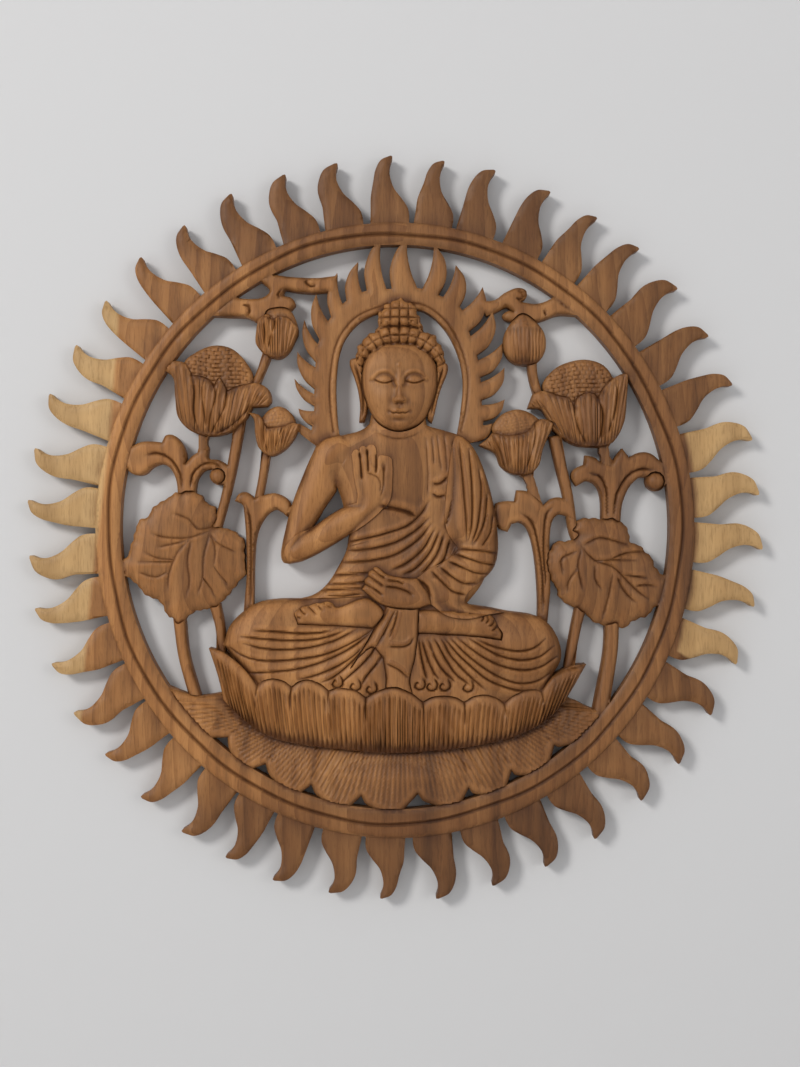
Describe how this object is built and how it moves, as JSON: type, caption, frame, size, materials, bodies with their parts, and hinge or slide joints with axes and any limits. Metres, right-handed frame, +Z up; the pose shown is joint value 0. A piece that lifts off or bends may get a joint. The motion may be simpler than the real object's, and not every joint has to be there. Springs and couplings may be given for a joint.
{
  "type": "carved wall panel",
  "caption": "Round openwork wall panel carved in relief from one plank: a seated buddha on a lotus throne inside a ring of flame rays.",
  "frame": {"origin": "on the flat back of the ring at its top, midway across the ring's width, where the panel hangs on its hook", "axes": "+Z up, the carved front faces -Y, the flat back lies on Y = 0 and faces +Y"},
  "size_m": [0.5931, 0.0303, 0.5997],
  "materials": {
    "oiled_wood": "thin oil, satin, with bare tool marks in the hollows"
  },
  "bodies": {
    "root": {"carved_panel": "oiled_wood"}
  },
  "joints": []
}
